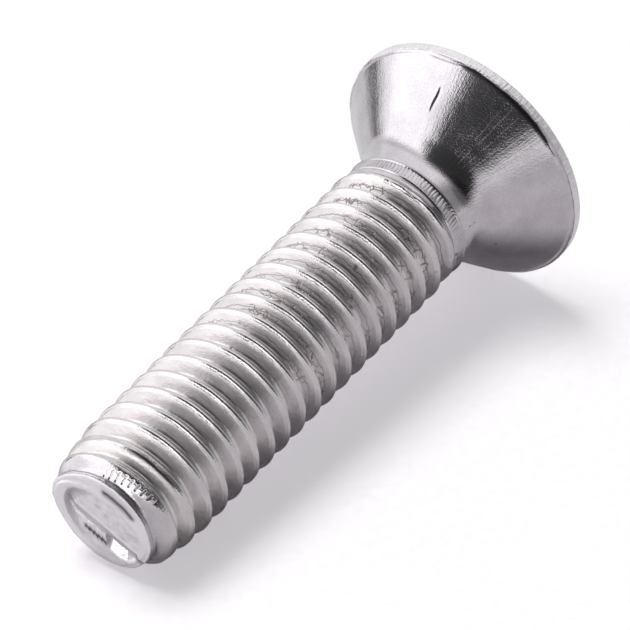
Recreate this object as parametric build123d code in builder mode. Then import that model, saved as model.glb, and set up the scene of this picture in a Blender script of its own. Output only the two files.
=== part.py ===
from build123d import *
from math import atan, cos, floor, radians, sin, tan
import os

# Countersunk thread-forming screw, metric size 6 with 1 mm pitch, one solid.
# It is modelled head down, with Z along its own axis from the head's top face
# (Z = 0) to the tip, and X pointing to the side that it lies on. The last block
# lays it on its head rim and a thread crest, as it comes to rest on a table.

# Head
head_diameter = 11.0
head_land = 0.43            # straight rim between the top face and the cone
head_edge_chamfer = 0.08    # broken edge between the rim and the top face
countersink_angle = 90.0    # full angle of the cone
neck_diameter = 5.54
neck_fillet = 1.6           # hollow curve from the cone into the neck
neck_straight = 0.4         # plain neck between the fillet and the collar

# Six-lobe drive socket in the top face
socket_lobes = 6
socket_across_tips = 5.6
socket_across_hollows = 4.05
socket_tip_radius = 0.451
socket_depth = 1.85
socket_floor_angle = 150.0  # full angle of the punched floor

# Collar where the rolled thread begins
collar_diameter = 5.66
collar_width = 0.75
collar_step = 0.05          # bevel from the neck up to the collar
collar_groove_depth = 0.05  # fine line rolled in beside the first crest
collar_groove_width = 0.1

# Rolled thread, right-handed
thread_pitch = 1.0
thread_diameter = 5.9
thread_angle = 60.0         # full angle between two flanks
root_diameter = 4.5         # sharp bottom of the groove
crest_ramp = 0.5            # length over which the first crests reach full size
first_crest_lead = 0.868    # from the collar to the first crest on the underside
runout_turn = 0.3           # part of a turn over which the groove deepens
runout_widening = 1.2       # radius of the run-out's curve over the root radius
groove_clearance = 0.08     # how far the groove's tool stands out of the crests

# Tapered point with a rimmed flat end
screw_length = 24.05
point_length = 2.65         # crests shrink from here to the tip
shoulder_length = 1.05      # the taper steepens from here to the tip
shoulder_diameter = 5.44
pilot_length = 0.3
pilot_diameter = 4.5
end_diameter = 3.9
end_rim_width = 0.16
end_dish = 0.1              # how deep the flat lies inside the rolled rim

head_radius = head_diameter / 2
neck_radius = neck_diameter / 2
collar_radius = collar_diameter / 2
crest_radius = thread_diameter / 2
root_radius = root_diameter / 2
end_radius = end_diameter / 2
half_countersink = radians(countersink_angle / 2)
half_thread = radians(thread_angle / 2)

# Heights along the axis, each measured on from the feature before it
cone_end = head_land + (head_radius - neck_radius) / tan(half_countersink)
collar_start = cone_end + neck_fillet * tan(half_countersink / 2) + neck_straight
collar_end = collar_start + collar_width
first_crest = collar_end + first_crest_lead
point_start = screw_length - point_length

# Blank: the whole outline turned about the axis, from the head to the dished
# end. The neck fillet is rounded on the solid, where the cone meets the neck.
with BuildPart() as blank:
    with BuildSketch(Plane.XZ) as outline:
        with BuildLine():
            Polyline(
                (0, 0),
                (head_radius, 0),
                (head_radius, head_land),
                (neck_radius, cone_end),
                (neck_radius, collar_start),
                (collar_radius, collar_start + collar_step),
                (collar_radius, collar_end - collar_groove_width),
                (collar_radius - collar_groove_depth, collar_end - collar_groove_width / 2),
                (collar_radius, collar_end),
                (crest_radius, collar_end + crest_ramp),
                (crest_radius, point_start),
                (shoulder_diameter / 2, screw_length - shoulder_length),
                (pilot_diameter / 2, screw_length - pilot_length),
                (end_radius, screw_length),
                (end_radius - end_rim_width, screw_length),
                (end_radius - end_rim_width - end_dish, screw_length - end_dish),
                (0, screw_length - end_dish),
                close=True,
            )
        make_face()
        chamfer(outline.vertices().sort_by_distance((head_radius, 0, 0))[0], head_edge_chamfer)
    revolve(axis=Axis.Z)
    cone_foot = (neck_radius, 0, cone_end)
    fillet(blank.edges().filter_by(GeomType.CIRCLE).sort_by_distance(cone_foot)[0], neck_fillet)

# Thread groove: a sharp vee swept along one turn of a right-hand helix,
# and a run-out that curves away from the root on a wider radius, so that the
# first groove fades in beside the collar.
groove_depth = crest_radius + groove_clearance - root_radius
groove_mouth = groove_depth * tan(half_thread)
runout_radius = runout_widening * root_radius
runout_pitch = runout_widening * thread_pitch

with BuildSketch(Plane.XZ) as vee:
    with BuildLine():
        Polyline(
            (root_radius, 0),
            (root_radius + groove_depth, -groove_mouth),
            (root_radius + groove_depth, groove_mouth),
            close=True,
        )
    make_face()

with BuildPart() as groove_turn:
    with BuildLine() as turn_path:
        Helix(thread_pitch, thread_pitch, root_radius)
    sweep(vee.sketch, path=turn_path.line, is_frenet=True)

with BuildPart() as runout:
    with BuildLine() as runout_path:
        Helix(
            runout_pitch,
            runout_turn * runout_pitch,
            runout_radius,
            center=(root_radius - runout_radius, 0, 0),
        )
    sweep(vee.sketch, path=runout_path.line, is_frenet=True)

# Drive socket outline: round tips joined by round hollows that bulge inwards. The
# hollows have the one radius that meets the tips without a corner.
tip_centre = Vector(socket_across_tips / 2 - socket_tip_radius, 0)
hollow_bottom = Vector(socket_across_hollows / 2, 0)
half_lobe = 180 / socket_lobes
reach = tip_centre.X * cos(radians(half_lobe))
bottom_to_tip = hollow_bottom.X**2 + tip_centre.X**2 - 2 * hollow_bottom.X * reach
hollow_radius = (bottom_to_tip - socket_tip_radius**2) / (2 * (socket_tip_radius - hollow_bottom.X + reach))
hollow_centre = Vector(hollow_bottom.X + hollow_radius, 0).rotate(Axis.Z, half_lobe)
tip_end = tip_centre + (hollow_centre - tip_centre).normalized() * socket_tip_radius
tip_start = Vector(tip_end.X, -tip_end.Y)
tip_point = Vector(socket_across_tips / 2, 0)

# The screw on its own axis: the blank with its groove and socket cut.
groove_count = floor((screw_length - first_crest) / thread_pitch) + 1
with BuildPart() as upright:
    add(blank.part)
    with Locations([(0, 0, first_crest + (turn - 0.5) * thread_pitch) for turn in range(groove_count)]):
        add(groove_turn.part, mode=Mode.SUBTRACT)
    with Locations((0, 0, first_crest - thread_pitch / 2)):
        add(runout.part, rotation=(180, 0, 0), mode=Mode.SUBTRACT)
    with BuildSketch(Plane.XY) as socket:
        with BuildLine():
            for lobe in range(socket_lobes):
                turned = 2 * half_lobe * lobe
                ThreePointArc(
                    tip_start.rotate(Axis.Z, turned),
                    tip_point.rotate(Axis.Z, turned),
                    tip_end.rotate(Axis.Z, turned),
                )
                ThreePointArc(
                    tip_end.rotate(Axis.Z, turned),
                    hollow_bottom.rotate(Axis.Z, turned + half_lobe),
                    tip_start.rotate(Axis.Z, turned + 2 * half_lobe),
                )
        make_face()
    extrude(amount=socket_depth, mode=Mode.SUBTRACT)
    with Locations((0, 0, socket_depth)):
        Cone(
            hollow_bottom.X,
            0,
            hollow_bottom.X / tan(radians(socket_floor_angle / 2)),
            align=(Align.CENTER, Align.CENTER, Align.MIN),
            mode=Mode.SUBTRACT,
        )

# Resting place: the screw lies on the lower corner of its rim and on a crest of
# its underside near the point, with the head towards +X and the tip dipping. The
# crest that it touches is the one that gives the smallest dip. The origin is on
# the table, under the middle of the whole screw.
taper = (crest_radius - shoulder_diameter / 2) / (point_length - shoulder_length)
crest_count = floor((screw_length - shoulder_length - first_crest) / thread_pitch) + 1
underside_crests = [first_crest + turn * thread_pitch for turn in range(crest_count)]
dip = min(
    atan((head_radius - crest_radius + taper * max(0, crest - point_start)) / (crest - head_land))
    for crest in underside_crests
)
axis_height = head_radius * cos(dip) + head_land * sin(dip)
resting = Plane((0, 0, axis_height), x_dir=(sin(dip), 0, -cos(dip)), z_dir=(-cos(dip), 0, -sin(dip)))

with BuildPart() as laid:
    with Locations(resting.location):
        add(upright.part)

middle = laid.part.bounding_box().center()
with BuildPart() as screw:
    with Locations((-middle.X, -middle.Y, 0)):
        add(laid.part)

screw.part.label = "screw"
os.makedirs("parts", exist_ok=True)
export_step(screw.part, "parts/screw.step")
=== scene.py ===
from math import atan2, cos, degrees, exp, hypot, pi, radians, sin, sqrt

import bmesh
import bpy
from mathutils import Matrix, Vector, noise


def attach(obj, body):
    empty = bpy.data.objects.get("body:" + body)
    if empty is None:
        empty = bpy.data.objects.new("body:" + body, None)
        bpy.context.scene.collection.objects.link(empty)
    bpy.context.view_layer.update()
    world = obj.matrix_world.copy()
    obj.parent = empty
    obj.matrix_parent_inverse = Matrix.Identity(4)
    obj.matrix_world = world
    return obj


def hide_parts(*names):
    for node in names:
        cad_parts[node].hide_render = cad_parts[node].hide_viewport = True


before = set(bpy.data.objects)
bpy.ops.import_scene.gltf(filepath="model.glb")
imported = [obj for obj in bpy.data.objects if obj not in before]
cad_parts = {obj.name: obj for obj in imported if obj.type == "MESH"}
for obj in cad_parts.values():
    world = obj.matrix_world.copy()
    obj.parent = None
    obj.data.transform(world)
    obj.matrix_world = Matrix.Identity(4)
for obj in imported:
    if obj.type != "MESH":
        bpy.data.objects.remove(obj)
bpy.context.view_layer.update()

# The camera: a long lens that looks down on the screw from in front of its tip.
# Its place is in millimetres, and its three directions are those of the picture.
camera_place = Vector((-119.34704, -88.49353, 121.63635))
camera_right = Vector((0.59118661, -0.80653481, 0.0))
camera_ahead = Vector((0.63398708, 0.46470986, -0.61814653))
camera_up = camera_right.cross(camera_ahead)

camera_data = bpy.data.cameras.new("camera")
camera_data.sensor_width = 36
camera_data.lens = 278.6155
camera_data.clip_start = 0.01
camera_data.clip_end = 10
camera = bpy.data.objects.new("camera", camera_data)
bpy.context.collection.objects.link(camera)
turned = Matrix((camera_right, camera_up, -camera_ahead)).transposed().to_4x4()
camera.matrix_world = Matrix.Translation(camera_place * 0.001) @ turned
bpy.context.scene.camera = camera
bpy.context.scene.view_settings.view_transform = "Standard"

# The screw: one piece of wire steel, headed and thread-rolled, then zinc-plated
# bright. It is shaped head down on its own axis in millimetres, X towards the
# side that it lies on, and laid on the table at the end.
head_radius = 5.5
head_land = 0.43
neck_radius = 2.77
neck_fillet = 1.6
fillet_height = 3.823       # where the hollow curve runs into the plain neck
collar_radius = 2.83
collar_end = 4.93
pitch = 1.0
crest_radius = 2.95
crest_round = 0.1
root_radius = 2.36
root_round = 0.136
first_crest = 5.8407
point_start = 21.4
point_taper = 0.14375       # lost radius per length, from the start of the point
tip_start = 23.3
tip_taper = 0.7             # lost as well from the start of the tip
tip_blunt = 0.05            # how softly a crest is cut down to the taper
last_root_depth = 0.16      # how much deeper the root runs out by the end
point_end = 23.76
flat_height = 23.95         # the sheared flat inside the rolled rim of the end
around = 160                # steps once round the screw
turns = 21


def smooth(low, high, value):
    """A soft step from 0 at low to 1 at high, whichever of them is larger."""
    t = min(1, max(0, (value - low) / (high - low)))
    return t * t * (3 - 2 * t)


def bell(value, middle, width):
    """1 at the middle, and fading out within about two widths of it."""
    return exp(-(((value - middle) / width) ** 2))


def bumpy(x, y, z):
    """Soft unevenness between -1 and 1."""
    return noise.noise(Vector((x, y, z)))


def side_angle(co):
    """Degrees round the screw from the side that it lies on."""
    return degrees(atan2(co.y, co.x)) % 360


def draw_line(bm, points):
    """A line of vertices and edges, each drawn out of the last."""
    tip = bmesh.ops.create_vert(bm, co=points[0])["vert"][0]
    for point in points[1:]:
        tip = bmesh.ops.extrude_vert_indiv(bm, verts=[tip])["verts"][0]
        tip.co = point


def grow_ring(bm, rim, place):
    """The next ring of faces beyond an open rim; place moves each new vertex."""
    grown = bmesh.ops.extrude_edge_only(bm, edges=rim)["geom"]
    for vert in grown:
        if isinstance(vert, bmesh.types.BMVert):
            vert.co = place(vert.co)
    return [edge for edge in grown if isinstance(edge, bmesh.types.BMEdge)]


def close_ring(bm, rim, height):
    """Draws an open rim together in one vertex on the axis."""
    last = list({vert for edge in rim for vert in edge.verts})
    bmesh.ops.pointmerge(bm, verts=last, merge_co=(0, 0, height))


# One pitch of the rolled thread, from root to root, with a round crest and a
# rounded root, is spun once round with a climb of one pitch, and repeated upwards.
thread_line = []
for a in range(0, 61, 15):
    swung = radians(a)
    thread_line.append((root_radius + root_round * (1 - cos(swung)), -0.5 * pitch + root_round * sin(swung)))
low_r, low_z = thread_line[-1]
high_r, high_z = crest_radius - crest_round / 2, -crest_round * sin(radians(60))
for share in (0.33, 0.67):
    thread_line.append((low_r + (high_r - low_r) * share, low_z + (high_z - low_z) * share))
for a in range(-60, 1, 20):
    swung = radians(a)
    thread_line.append((crest_radius - crest_round * (1 - cos(swung)), crest_round * sin(swung)))
thread_line += [(r, -z) for r, z in reversed(thread_line[:-1])]

bm = bmesh.new()
draw_line(bm, [(r, 0, first_crest - 2 * pitch + z) for r, z in thread_line])
bmesh.ops.spin(
    bm, geom=bm.verts[:] + bm.edges[:], cent=(0, 0, 0), axis=(0, 0, 1), dvec=(0, 0, pitch / around),
    angle=2 * pi, steps=around, use_merge=False, use_duplicate=False,
)
one_turn = bm.verts[:] + bm.edges[:] + bm.faces[:]
for count in range(1, turns):
    copied = bmesh.ops.duplicate(bm, geom=one_turn)["geom"]
    climbed = [vert for vert in copied if isinstance(vert, bmesh.types.BMVert)]
    bmesh.ops.translate(bm, vec=(0, 0, count * pitch), verts=climbed)
bmesh.ops.remove_doubles(bm, verts=bm.verts, dist=0.0005)
for cut_height, outwards in ((collar_end, -1), (point_end, 1)):
    bmesh.ops.bisect_plane(
        bm, geom=bm.verts[:] + bm.edges[:] + bm.faces[:], dist=0.0001,
        plane_co=(0, 0, cut_height), plane_no=(0, 0, outwards), clear_outer=True,
    )
bmesh.ops.remove_doubles(bm, verts=bm.verts, dist=0.004)


def thread_place(co):
    """Where a point of the plain thread goes: faded in at the collar, cut down to the point."""
    r, angle = hypot(co.x, co.y), atan2(co.y, co.x) % (2 * pi)
    turn = angle / (2 * pi)
    crest = round((co.z - first_crest) / pitch - turn)
    offset = (co.z - first_crest) / pitch - turn - crest
    if r > collar_radius:
        shown = smooth(-0.9, -0.62, crest + turn)
    else:
        shown = smooth(-0.3, 0.0, crest + turn + (1 if offset > 0 else 0))
    r = collar_radius + (r - collar_radius) * shown
    limit = crest_radius - point_taper * max(0, co.z - point_start) - tip_taper * max(0, co.z - tip_start)
    if r > limit - tip_blunt:
        r = limit - tip_blunt * exp(-(r - limit + tip_blunt) / tip_blunt)
    r -= last_root_depth * smooth(22.9, point_end, co.z) * smooth(2.7, 2.3, r)
    uneven = 0.008 * bumpy(4 * cos(angle), 4 * sin(angle), 1.3 * co.z)
    r += uneven + 0.006 * bumpy(1.5 * co.x, 1.5 * co.y, co.z + 9)
    return Vector((min(r, crest_radius) * cos(angle), min(r, crest_radius) * sin(angle), co.z))


for vert in bm.verts:
    vert.co = thread_place(vert.co)


def open_rim(bm, height):
    """The open edges at one end of the thread."""
    return [
        edge for edge in bm.edges
        if len(edge.link_faces) == 1 and all(abs(vert.co.z - height) < 0.01 for vert in edge.verts)
    ]


def ring(radius, height):
    """Puts a vertex on the circle of that radius and height, at its own angle."""
    def place(co):
        angle = atan2(co.y, co.x)
        return Vector((radius * cos(angle), radius * sin(angle), height))
    return place


# Collar, neck, cone, rim and flat top of the head, ring by ring from the thread.
# A bead marks the collar's edge, and a fine valley parts the cone from the rim.
head_line = [(2.79, 4.89), (2.78, 4.86), (2.815, 4.83)]
head_line += [(collar_radius, z) for z in (4.8, 4.76, 4.55, 4.34, 4.3)]
head_line += [(2.87, 4.275), (2.855, 4.24), (2.785, 4.21)]
head_line += [(neck_radius, z) for z in (4.18, 4.06, 3.94)]
fillet_r = neck_radius + neck_fillet
for a in range(0, 46, 3):
    swung = radians(a)
    head_line.append((fillet_r - neck_fillet * cos(swung), fillet_height - neck_fillet * sin(swung)))
cone_start, cone_rim, cone_rings = head_line[-1][1], head_land + 0.12, 26
for step in range(1, cone_rings + 1):
    z = cone_start + (cone_rim - cone_start) * step / cone_rings
    head_line.append((head_radius - (z - head_land), z))
head_line += [(5.385, 0.515), (5.395, 0.49), (5.44, 0.465), (5.478, 0.44), (5.492, 0.4)]
head_line += [(5.494, 0.36 - 0.045 * step) for step in range(7)]
head_line += [(5.485, 0.05), (5.46, 0.018)]
flat_edge = 5.42
head_line.append((flat_edge, 0.002))
rim = open_rim(bm, collar_end)
for radius, z in head_line:
    rim = grow_ring(bm, rim, ring(radius, z))

# Six-lobe drive socket in the flat top, with a small lead-in, upright walls and
# a shallow punched cone for a floor. Round tips and round hollows meet without a
# corner at touch_angle.
tip_x, tip_radius, hollow_x, socket_depth = 2.349, 0.451, 2.025, 1.85
half_lobe = pi / 6
reach = tip_x * cos(half_lobe)
hollow_radius = hollow_x**2 + tip_x**2 - 2 * hollow_x * reach - tip_radius**2
hollow_radius /= 2 * (tip_radius - hollow_x + reach)
hollow_far = hollow_x + hollow_radius
hollow_centre = Vector((hollow_far * cos(half_lobe), hollow_far * sin(half_lobe)))
touch = Vector((tip_x, 0)).lerp(hollow_centre, tip_radius / (tip_radius + hollow_radius))
touch_angle = atan2(touch.y, touch.x)


def socket_radius(angle):
    """Distance from the axis to the socket's wall at an angle."""
    from_tip = abs((angle + half_lobe) % (2 * half_lobe) - half_lobe)
    if from_tip < touch_angle:
        return tip_x * cos(from_tip) + sqrt(max(0, tip_radius**2 - (tip_x * sin(from_tip)) ** 2))
    from_hollow = half_lobe - from_tip
    across = hollow_far * sin(from_hollow)
    return hollow_far * cos(from_hollow) - sqrt(hollow_radius**2 - across**2)


def lobed(share, grow, height):
    """Between the head's edge circle (share 0) and the socket's outline (share 1)."""
    def place(co):
        angle = atan2(co.y, co.x)
        radius = flat_edge + (socket_radius(angle) + grow - flat_edge) * share
        return Vector((radius * cos(angle), radius * sin(angle), height))
    return place


lead_in = [(0.1, 0), (0.07, 0.01), (0.03, 0.05), (0, 0.11)]
wall = [(0, 0.5), (0, 1.0), (0, 1.5), (0, 1.82), (-0.02, socket_depth)]
for share in (0.04, 0.25, 0.5, 0.75, 0.93):
    rim = grow_ring(bm, rim, lobed(share, 0.1, 0))
for grow, z in lead_in + wall:
    rim = grow_ring(bm, rim, lobed(1, grow, z))
for radius in (1.9, 1.2, 0.5, 0.1):
    rim = grow_ring(bm, rim, ring(radius, socket_depth + (1.95 - radius) * 0.268))
close_ring(bm, rim, 2.38)

# Cold-sheared end: a groove and a short pilot, with a rolled rim round a sunken flat.
end_line = [(2.25, 23.79), (2.2, 23.83), (2.19, 23.87), (2.225, 23.9), (2.23, 23.93), (2.2, 23.96)]
end_line += [(2.14, 23.985), (2.1, 23.98), (2.07, 24.0), (2.04, 24.025), (1.98, 24.04), (1.92, 24.03)]
end_line += [(1.87, 24.01), (1.84, 23.98), (1.8, 23.955)]
flat_radius, flat_rings = 1.8, 24
end_line += [(flat_radius * (1 - step / flat_rings), flat_height) for step in range(1, flat_rings)]
rim = open_rim(bm, point_end)
for radius, z in end_line:
    rim = grow_ring(bm, rim, ring(radius, z))
close_ring(bm, rim, flat_height)


def refine(bm, cuts, inside):
    """Divides the edges of a small area, so that it can take fine marks."""
    edges = [edge for edge in bm.edges if all(inside(vert.co) for vert in edge.verts)]
    bmesh.ops.subdivide_edges(bm, edges=edges, cuts=cuts, use_grid_fill=True)


nick_angle, nick_height, nick_reach = 181.3, 1.7, 0.42


def near_nick(co):
    """Whether a point of the cone's outside lies close to the nick."""
    close = abs(co.z - nick_height) < 0.5 and abs(side_angle(co) - nick_angle) < 4
    return close and co.z + hypot(co.x, co.y) > 5.9


# Ribs by the last crest run from one of these angles to the other.
ribs_from, ribs_to = 124, 181
refine(bm, 3, near_nick)
refine(bm, 3, lambda co: 23.0 < co.z < 23.77 and ribs_from < side_angle(co) < ribs_to)


def round_collar(edge):
    """Whether an edge runs round the collar's band."""
    first, last = edge.verts
    return 4.29 < first.co.z < 4.81 and abs(first.co.z - last.co.z) < 0.001


band = [edge for edge in bm.edges if round_collar(edge)]
bmesh.ops.subdivide_edges(bm, edges=band, cuts=5)

# Marks of its making, in millimetres and degrees round the screw: first the ribs
# that the dies rolled into the collar, and the rough start of the first flank.
collar_middle, rib_spacing = 4.55, 3.2


def collar_rib(x, y, z, side):
    """How far the collar's ribs stand out here, and how much painted shade lies in their grooves."""
    patchy = bumpy(0.9 * x, 0.9 * y, 0.9 * z)
    tooth = abs((side / rib_spacing + z + 0.5 * bumpy(4 * x, 4 * y, 3 * z)) % 1 - 0.5) * 2
    on_band = smooth(0.24, 0.19, abs(z - collar_middle))
    lift = -(0.026 + 0.04 * patchy) * tooth * on_band
    # Painted shade, darkest in the deepest part of each groove.
    return lift, (0.3 + 0.4 * patchy) * smooth(0.6, 0.95, tooth) * on_band


def first_flank(x, y, z):
    """How far the torn start of the thread stands out here."""
    torn = smooth(4.95, 5.1, z) * smooth(6.1, 5.5, z)
    lift = 0.03 * torn * bumpy(2.2 * x, 2.2 * y, 6 * z)
    return lift - 0.02 * torn * smooth(0.1, 0.5, bumpy(5 * x, 5 * y, 11 * z))


# Ribs dug into the slope behind the last crest, climbing with the thread. Painted shade lies in them, darkest
# where they start.
dug_spacing, dug_height, dug_climb, dug_depth = 6.4, 23.42, 0.006, 0.05


def crest_rib(z, side):
    """How far the ribs by the last crest are dug in here, and how much painted shade lies in them."""
    tooth = smooth(0.27, 0.42, abs(((side - 126) / dug_spacing) % 1 - 0.5))
    on_line = smooth(0.15, 0.08, abs(z - dug_height - dug_climb * (side - 152)))
    dug = tooth * on_line * smooth(ribs_from, 130, side) * smooth(ribs_to, 174, side)
    return -dug_depth * dug, (0.2 + 0.5 * smooth(155, 135, side)) * dug


# The cone: a nick with a raised lip, and soft ripples left by the heading die.
nick_depth, nick_width, lip_height, lip_width = 0.045, 0.045, 0.03, 0.05
ripple_angle, ripple_at, ripple_height = 78, 2.3, 0.014


def cone_mark(x, y, z, side):
    """How far the cone stands out here."""
    lift = 0.006 * bumpy(0.8 * x, 0.8 * y, 1.2 * z)
    waves = sin(16 * (z - ripple_at) + 0.25 * (side - ripple_angle))
    lift += ripple_height * waves * bell(z, ripple_at, 0.35) * bell(side, ripple_angle, 8)
    share = (z - nick_height) / nick_reach
    if abs(share) < 1:
        across = hypot(x, y) * radians(side - nick_angle - 0.5 * sin(6 * (z - nick_height)))
        deeper = 1 + bumpy(0.9 * x, 0.9 * y, 0.9 * z)
        lift -= nick_depth * (1 - share**2) * deeper * bell(across, -0.02, nick_width)
        lift += lip_height * (1 - share**2) * bell(across, 0.08, lip_width)
    return lift


# The rim of the head is uneven. The valley beside it is open over part of the round only, with painted shade
# in it there, and closed elsewhere.
valley_from, valley_to, rim_notch = 118, 178, 184


def rim_wave(x, y, side):
    """How far the edge between the rim and the cone is moved along the screw."""
    wave = bumpy(0.8 * x, 0.8 * y, 3) + 0.6 * bumpy(3 * x, 3 * y, 7)
    return 0.035 * wave + 0.1 * bell(side, rim_notch, 9)


def valley_share(side):
    """1 where the valley beside the rim is open, 0 where it is closed."""
    return smooth(valley_from, valley_from + 4, side) * smooth(valley_to, valley_to - 4, side)


def painted_valley_shade(x, y, z, side):
    """How dark the painted shade in the valley is here. It is broken up where it begins."""
    breaks = bumpy(1.6 * x, 1.6 * y, 2) + smooth(valley_from, 132, side)
    on_line = smooth(0.445, 0.46, z) * smooth(0.61, 0.53, z)
    return 0.97 * valley_share(side) * on_line * smooth(0.3, 0.6, breaks)


# The sheared end. One side is squeezed flat, and a fold runs across the flat with a step and a ridge beside
# it. A dent and a streaked slope with a painted dark reflection lie beyond, and the rim has a bulge, a spike,
# a slit and a dark line. Painted shade lies in the slit and on the flat below the bulge.
squeezed_side, squeezed_share = 158, 0.33
bulged_side, spike_side, slit_side = 256, 265, 50
dent_depth, dark_reflection_at, rim_line_at = 0.44, 0.86, 2.1


def sheared_place(x, y, z, side):
    """Where a point of the end goes, and how much painted shade and dark line it takes; a bright facet is
    below 0.
    """
    r = hypot(x, y)
    facing = max(0, cos(radians(side - squeezed_side))) ** 1.5
    squeeze = 1 - squeezed_share * facing * smooth(2.24, 1.98, r)
    x, y = x * squeeze, y * squeeze
    from_far = abs((side - 160) % 360 - 180)
    z -= 0.9 * smooth(52, 40, from_far) * max(0, z - flat_height)

    fold = (x - 0.07) * 0.902 - (y + 0.34) * 0.432
    level = 0.03 * bell(fold, 0, 0.07) - 0.05 * smooth(0.05, 0.16, fold) * smooth(0.5, 0.4, fold)
    level += 0.035 * bell(fold, 0.5, 0.06)
    dent = smooth(0.0, 0.14, y) * smooth(1.02, 0.92, y)
    level -= dent_depth * dent * smooth(0.38, 0.44, fold) * min(1, max(0, (1.06 - fold) / 0.62))
    level -= 0.12 * smooth(1.3, 1.6, r) * bell(side, 262, 30)
    level += 0.012 * bumpy(3 * x, 3 * y, 1) + 0.008 * bumpy(9 * x, 9 * y, 5)
    # A streaked slope beyond the fold: fine strokes in its relief and a painted dark reflection.
    strokes = 34 * y
    dark_reflection = bell(fold - dark_reflection_at + 0.05 * sin(strokes), 0, 0.11)
    dark_reflection = dark_reflection * smooth(-1.1, -0.85, y) * smooth(0.15, -0.1, y)
    level += 0.01 * sin(strokes + 3 * bumpy(6 * x, 6 * y, 8)) * dark_reflection

    bulge = bell(side, bulged_side, 32)
    spike = bell(side, spike_side, 4) * smooth(23.92, 24.0, z)
    slit = bell(side, slit_side, 3.5) * smooth(1.6, 1.9, r) * smooth(23.9, 24.0, z)
    grow = (0.2 * bulge + 0.05 * spike) * smooth(1.7, 2.02, r) - 0.02 * slit
    grow += 0.03 * bumpy(2.2 * x, 2.2 * y, 4) + 0.016 * bumpy(6 * x, 6 * y, 9 * z) * smooth(1.7, 1.9, r)
    wider = 1 + grow / max(r, 0.5)

    on_flat = smooth(1.84, 1.7, r)
    rim_line = smooth(117, 124, side) * smooth(178, 170, side) * bell(r, rim_line_at, 0.03)
    facet = dent * smooth(0.4, 0.5, fold) * smooth(1.1, 1.0, fold)
    # Painted dark reflection, painted shade in the slit and below the bulge, and the rim's dark line.
    painted_shade_and_line = dark_reflection * 1.1 - facet + rim_line + slit * 0.6 + 0.35 * on_flat * smooth(1.5, 1.7, r) * bulge
    return (x * wider, y * wider, z + level * on_flat - 0.1 * slit), min(0.93, painted_shade_and_line)


# Each vertex carries painted shade: in the grooves of the ribs, in the valley by the rim and on the end,
# along with the end's dark rim line. -1 marks the end's bright facet.
painted_shade_and_marks_layer = bm.verts.layers.float.new("painted_shade_and_marks")
for vert in bm.verts:
    x, y, z = vert.co
    r, side = hypot(x, y), side_angle(vert.co)
    lift = 0.0
    if z > 23.78:
        vert.co, vert[painted_shade_and_marks_layer] = sheared_place(x, y, z, side)
    elif 4.3 < z < 4.8:
        lift, vert[painted_shade_and_marks_layer] = collar_rib(x, y, z, side)
        r = collar_radius
    elif collar_end < z < 6.1:
        lift = first_flank(x, y, z)
    elif z > 23.0 and ribs_from < side < ribs_to:
        lift, vert[painted_shade_and_marks_layer] = crest_rib(z, side)
    elif 0.55 < z < 3.4:
        lift = cone_mark(x, y, z, side)
    elif 0.36 < z <= 0.55 and r > 5.3:
        vert.co.z += rim_wave(x, y, side)
        straight = head_radius + head_land - z - 0.03
        lift = (straight - r) * (1 - valley_share(side)) * smooth(0.45, 0.48, z)
    # Painted shade in the open valley beside the rim.
    if 0.44 < z < 0.57 and r > 5.3:
        vert[painted_shade_and_marks_layer] = painted_valley_shade(x, y, z, side)
    if lift:
        vert.co.x, vert.co.y = (r + lift) * cos(radians(side)), (r + lift) * sin(radians(side))
bmesh.ops.recalc_face_normals(bm, faces=bm.faces)

# The pattern of the finish follows the wire: U goes once round the screw and V
# is the height along it in millimetres.
wrap = bm.loops.layers.uv.new("wrap")
for face in bm.faces:
    shares = [atan2(loop.vert.co.y, loop.vert.co.x) / (2 * pi) % 1 for loop in face.loops]
    seam = max(shares) - min(shares) > 0.5
    for loop, share in zip(face.loops, shares):
        loop[wrap].uv = (share + 1 if seam and share < 0.5 else share, loop.vert.co.z)
    face.smooth = True

dip = radians(6.958997)
axis_height = 5.5115805
head_top_x = 11.7262
lay = Matrix((
    (sin(dip), 0, -cos(dip), head_top_x),
    (0, -1, 0, 0),
    (-cos(dip), 0, -sin(dip), axis_height),
    (0, 0, 0, 1),
))
bmesh.ops.transform(bm, matrix=Matrix.Scale(0.001, 4) @ lay, verts=bm.verts)
screw_mesh = bpy.data.meshes.new("screw_steel")
bm.to_mesh(screw_mesh)
bm.free()
screw = bpy.data.objects.new("screw_steel", screw_mesh)
bpy.context.collection.objects.link(screw)


class Value:
    """A socket of a node tree that can be used in sums."""

    def __init__(self, tree, socket=None):
        self.tree, self.socket = tree, socket

    def node(self, kind, settings=None, output=0, **inputs):
        """Adds a node; i0, i1 and so on are inputs by number, other names are sockets."""
        made = self.tree.nodes.new(kind)
        for name, setting in (settings or {}).items():
            setattr(made, name, setting)
        for name, value in inputs.items():
            key = int(name[1:]) if name[0] == "i" and name[1:].isdigit() else name.replace("_", " ")
            if isinstance(value, Value):
                self.tree.links.new(value.socket, made.inputs[key])
            else:
                made.inputs[key].default_value = value
        return Value(self.tree, made.outputs[output] if made.outputs else None)

    def math(self, operation, *values):
        inputs = {f"i{index}": value for index, value in enumerate(values)}
        return self.node("ShaderNodeMath", {"operation": operation}, **inputs)

    def __add__(self, other):
        return self.math("ADD", self, other)

    def __sub__(self, other):
        return self.math("SUBTRACT", self, other)

    def __rsub__(self, other):
        return self.math("SUBTRACT", other, self)

    def __mul__(self, other):
        return self.math("MULTIPLY", self, other)

    def step(self, low, high):
        """0 below low, 1 above high and a soft step between."""
        return self.node("ShaderNodeMapRange", {"interpolation_type": "SMOOTHSTEP"}, i0=self, i1=low, i2=high)

    __radd__ = __add__
    __rmul__ = __mul__


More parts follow.
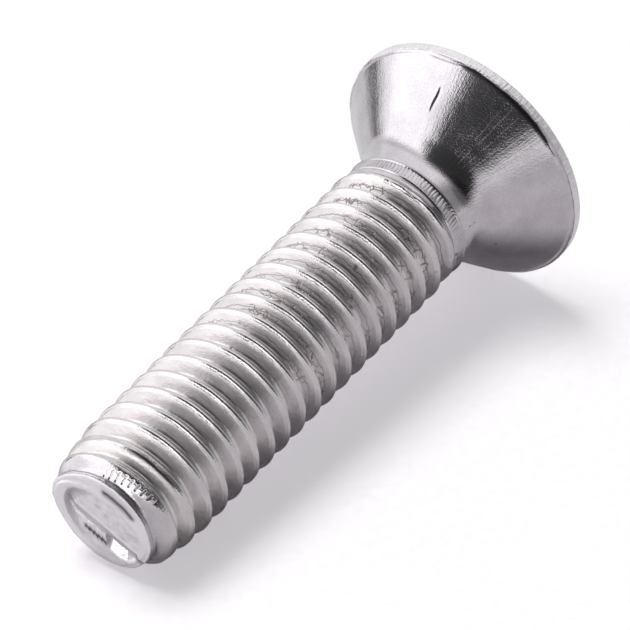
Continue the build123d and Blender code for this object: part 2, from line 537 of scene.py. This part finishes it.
# Bright zinc plate. The head's cone is polished by the heading die, the thread is
# matt from the rolling dies and bright on its crests, and its flanks near the
# head keep fine laps, where the metal folded as it rolled.
steel = bpy.data.materials.new("plated_steel")
steel.use_nodes = True
steel.node_tree.nodes.clear()
on_steel = Value(steel.node_tree)
surface = on_steel.node("ShaderNodeTexCoord", output=3)
wrapped = on_steel.node("ShaderNodeUVMap", {"uv_map": "wrap"})
turn = on_steel.node("ShaderNodeSeparateXYZ", output=0, i0=wrapped)
height = on_steel.node("ShaderNodeSeparateXYZ", output=1, i0=wrapped)
# The painted shade and the dark rim line that the mesh carries.
painted_shade_and_marks = on_steel.node("ShaderNodeAttribute", {"attribute_name": "painted_shade_and_marks"}, output=2)


def along(first, second, third=0.0):
    """A pattern's place from numbers of its own."""
    return on_steel.node("ShaderNodeCombineXYZ", i0=first, i1=second, i2=third)


def cloudy(where, scale, detail=2.0):
    """Soft noise between 0 and 1, finer with a larger scale."""
    return on_steel.node("ShaderNodeTexNoise", Vector=where, Scale=scale, Detail=detail, Roughness=0.6)


def hair(value, at, half):
    """A fine line where a value passes a place."""
    return 1 - on_steel.math("ABSOLUTE", value - at).step(half * 0.35, half)


def blend(share, first, second):
    """From the first colour to the second by a share."""
    return on_steel.node("ShaderNodeMix", {"data_type": "RGBA"}, output=2, i0=share, i6=first, i7=second)


# The zones of the screw, each 1 in its own part of the height.
cone = 1 - height.step(3.1, 3.6)
land = 1 - height.step(0.42, 0.46)
threaded = height.step(5.0, 5.3) * (1 - height.step(23.2, 23.6))
near_head = (1 - height.step(13.5, 16.5)) * threaded
tip = height.step(23.6, 23.78)
end = height.step(23.93, 23.96)
from_crest = height - turn - first_crest
from_crest = from_crest - on_steel.math("ROUND", from_crest)
flank = on_steel.math("ABSOLUTE", from_crest).step(0.11, 0.16) * threaded

grain = cloudy(surface, 13000.0, 1.0)
pits = cloudy(surface, 3200.0)
blotch = cloudy(surface, 700.0)
patches = cloudy(surface, 260.0, 1.0)

# Laps run round with the thread, on the side that faces the tip, as far as the
# ninth turn, and break up into cracks beside the root.
wander = cloudy(along(turn * 26, height * 0.12), 1.0, 3.0) - 0.5
kinks = cloudy(along(turn * 90, height * 0.4, 4.0), 1.0) - 0.5
lap = hair(from_crest - wander * 0.12 - kinks * 0.06, 0.3, 0.017) * (0.55 + blotch * 0.6)
lower_lap = hair(from_crest - wander * 0.1 + kinks * 0.08, 0.385, 0.014) * patches.step(0.42, 0.55)
cracks = on_steel.node(
    "ShaderNodeTexVoronoi", {"feature": "DISTANCE_TO_EDGE"}, Scale=1.0,
    Vector=along(turn * 34 + kinks * 1.2, from_crest * 7 + wander * 2, height * 0.3),
)
cracked = (1 - cracks.step(0.02, 0.09)) * from_crest.step(0.22, 0.3) * blotch.step(0.44, 0.54)
laps = on_steel.math("MAXIMUM", on_steel.math("MAXIMUM", lap, lower_lap * 0.7), cracked * 1.3) * near_head
first_turns = 1 - height.step(6.4, 7.4)

# Fine scores run down the cone, cross lines over the rim, a few dashes down the
# neck, and specks lie anywhere.
scores = cloudy(along(turn * 900, height * 0.5), 1.0, 1.0) * cone
bent = turn + (cloudy(along(height * 0.9, 0.0), 1.0, 1.0) - 0.5) * 0.006
long_scores = hair(bent, 0.394, 0.0005) + hair(bent, 0.4065, 0.0004)
long_scores = long_scores + hair(bent, 0.4155, 0.0004) + hair(bent, 0.425, 0.0005)
long_scores = long_scores * cone * height.step(0.5, 0.7) * blotch.step(0.36, 0.5)
cross_lines = cloudy(along(turn * 330, height * 1.5), 1.0) * land * height.step(0.01, 0.05)
speck = on_steel.node("ShaderNodeTexVoronoi", Vector=surface, Scale=620.0)
specks = (1 - speck.step(0.035, 0.075)) * patches.step(0.44, 0.5)
on_neck = height.step(3.1, 3.3) * (1 - height.step(4.1, 4.25))
dashes = hair(turn, 0.2736, 0.002) * on_neck * cloudy(along(height * 5, 0.0), 1.0).step(0.48, 0.56)

# The relief is in hundredths of a millimetre. The sheared end and the flanks are pitted, but the end's bright
# facet, where the painted shade value is -1, is not.
relief = grain * (0.4 + cone * 0.12 + threaded * 0.3 + land * 0.6) + blotch * 1.6
relief = relief - laps * 1.2 - specks * 1.5 + scores * 0.3 + long_scores * 0.13 + cross_lines * 7
relief = relief + pits * (flank * 1.5 + tip * on_steel.math("MINIMUM", painted_shade_and_marks + 1, 1.0) * 3)
bump = on_steel.node("ShaderNodeBump", Strength=1.0, Distance=0.00001, Height=relief)

# Plain plate is cool grey, the rolled thread warmer and paler, and the rim and the end nearly white. Painted
# shade, and the end's dark rim line, darken the metal where the attribute is above 0.
plate_dark, plate_light = (0.55, 0.52, 0.553, 1), (0.73, 0.695, 0.733, 1)
rolled_dark, rolled_light = (0.77, 0.735, 0.745, 1), (0.87, 0.825, 0.815, 1)
sheared_white = (0.98, 0.95, 0.99, 1)
brown_stain = (0.30, 0.20, 0.15, 1)
# Black for laps, specks and dashes, and for the painted shade.
black_for_marks_and_shade = (0.03, 0.027, 0.027, 1)
cool = blend(blotch.step(0.3, 0.7) * 0.6 + grain.step(0.3, 0.7) * 0.4, plate_dark, plate_light)
warm = blend(blotch.step(0.35, 0.65), rolled_dark, rolled_light)
tint = blend(threaded * (0.5 + from_crest.step(0.1, 0.35) * 0.4), cool, warm)
tint = blend(end * 0.9 + land * 0.9, tint, sheared_white)
stain = cloudy(surface, 1700.0).step(0.62, 0.7) * hair(height, 5.95, 0.5) * (1 - land)
tint = blend(stain * 0.6, tint, brown_stain)
dark = laps * (0.42 + first_turns * 0.1) + specks * 0.6 + dashes * 0.8 + painted_shade_and_marks
tint = blend(on_steel.math("MINIMUM", dark, 0.97), tint, black_for_marks_and_shade)
roughness = 0.11 + painted_shade_and_marks * 0.22 + blotch * 0.06 + flank * 0.19 + tip * 0.26 + land * 0.2
metal = on_steel.node(
    "ShaderNodeBsdfPrincipled", Base_Color=tint, Metallic=1.0, Roughness=roughness, Normal=bump,
)
on_steel.node("ShaderNodeOutputMaterial", Surface=metal)
screw.data.materials.append(steel)
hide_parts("screw")
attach(screw, "root")

# The sheet of white card on the table, which the screw's shadow falls on. Its far
# edge lies 8 mm behind the middle of the screw.
card_half, card_behind = 0.1, 0.008
bm = bmesh.new()
bmesh.ops.create_grid(bm, x_segments=1, y_segments=1, size=card_half)
bmesh.ops.translate(bm, vec=(0, card_behind - card_half, 0), verts=bm.verts)
card_mesh = bpy.data.meshes.new("table")
bm.to_mesh(card_mesh)
bm.free()
card = bpy.data.objects.new("table", card_mesh)
bpy.context.collection.objects.link(card)
paper = bpy.data.materials.new("white_card")
paper.use_nodes = True
paper.node_tree.nodes.clear()
on_card = Value(paper.node_tree)
seen = on_card.node("ShaderNodeLightPath")
mirrored = on_card.node("ShaderNodeLightPath", output=3) + on_card.node("ShaderNodeLightPath", output=6)
card_place = on_card.node("ShaderNodeTexCoord", output=3)
fibres = on_card.node("ShaderNodeTexNoise", Vector=card_place, Scale=2600.0, Detail=3.0)
white = on_card.node(
    "ShaderNodeMix", {"data_type": "RGBA"}, output=2, i0=fibres, i6=(0.74, 0.72, 0.74, 1), i7=(1, 0.98, 1, 1),
)
matt = on_card.node("ShaderNodeBsdfDiffuse", Color=white)
glow = on_card.node("ShaderNodeEmission", Color=(0.98, 0.95, 1, 1), Strength=seen * 0.47 + mirrored * 0.02)
on_card.node("ShaderNodeOutputMaterial", Surface=on_card.node("ShaderNodeAddShader", i0=matt, i1=glow))
card.data.materials.append(paper)

# White light tent, lit from behind: bright on the lit side, grey low down and in
# front, and dark round the opening for the lens. The camera itself sees plain
# white, and what is matt gets only a sixth of the tent's light.
world = bpy.data.worlds.new("tent")
bpy.context.scene.world = world
world.use_nodes = True
world.node_tree.nodes.clear()
in_tent = Value(world.node_tree)
direction = in_tent.node("ShaderNodeTexCoord")
right = in_tent.node("ShaderNodeSeparateXYZ", output=0, i0=direction)
back = in_tent.node("ShaderNodeSeparateXYZ", output=1, i0=direction)
high = in_tent.node("ShaderNodeSeparateXYZ", output=2, i0=direction)
seen = in_tent.node("ShaderNodeLightPath")
scattered = in_tent.node("ShaderNodeLightPath", output=2)


def patch(aim, inner, outer):
    """1 within so many degrees of an aim, 0 beyond the outer angle."""
    aim = Vector(aim).normalized()
    near = in_tent.node("ShaderNodeVectorMath", {"operation": "DOT_PRODUCT"}, output=1, i0=direction, i1=aim)
    return near.step(cos(radians(outer)), cos(radians(inner)))


lit = back.step(-0.35, 0.65)
lit = lit + (1 - lit) * right.step(0.1, 0.4) * high.step(0.6, 0.85)
opening = patch((-0.469, -0.587, 0.660), 53, 60) * high.step(0.12, 0.22) * (1 - right.step(-0.05, 0.25))
front_flap = patch((0.1, -0.93, 0.35), 12, 32)
left_lamp = patch((-1, -0.02, -0.02), 10, 28)
seam = right.step(-0.06, 0.04) * (1 - right.step(0.14, 0.26)) * back.step(0.2, 0.5)
above = (0.6 + lit) * (1 - right.step(-0.2, 0.12) * 0.4) * (1 - opening * 0.94) * (1 - front_flap * 0.6)
above = above * (1 - seam * 0.25) + left_lamp * 1.7
table_gap = patch((-0.06, 0.97, -0.21), 4, 10)
below = (1.15 - right.step(-0.2, 0.1) * 0.4) * (1 - table_gap * 0.85)
horizon = high.step(-0.05, 0.15)
tent = above * horizon + (1 - horizon) * below
strength = seen + (1 - seen) * tent * (1 - scattered * 0.83)
sky = in_tent.node("ShaderNodeBackground", Color=(1, 1, 1, 1), Strength=strength)
in_tent.node("ShaderNodeOutputWorld", Surface=sky)

# The lamp behind the screw, which draws its shadow towards the front. It isn't
# mirrored in the metal.
key_data = bpy.data.lights.new("key", "AREA")
key_data.shape = "RECTANGLE"
key_data.size = 0.4
key_data.size_y = 0.3
key_data.energy = 2.25
key = bpy.data.objects.new("key", key_data)
bpy.context.collection.objects.link(key)
key.location = Vector((-0.03, 0.196, 0.567))
key.visible_glossy = False
key.rotation_euler = (Vector((0, 0, 0.005)) - key.location).to_track_quat("-Z", "Y").to_euler()
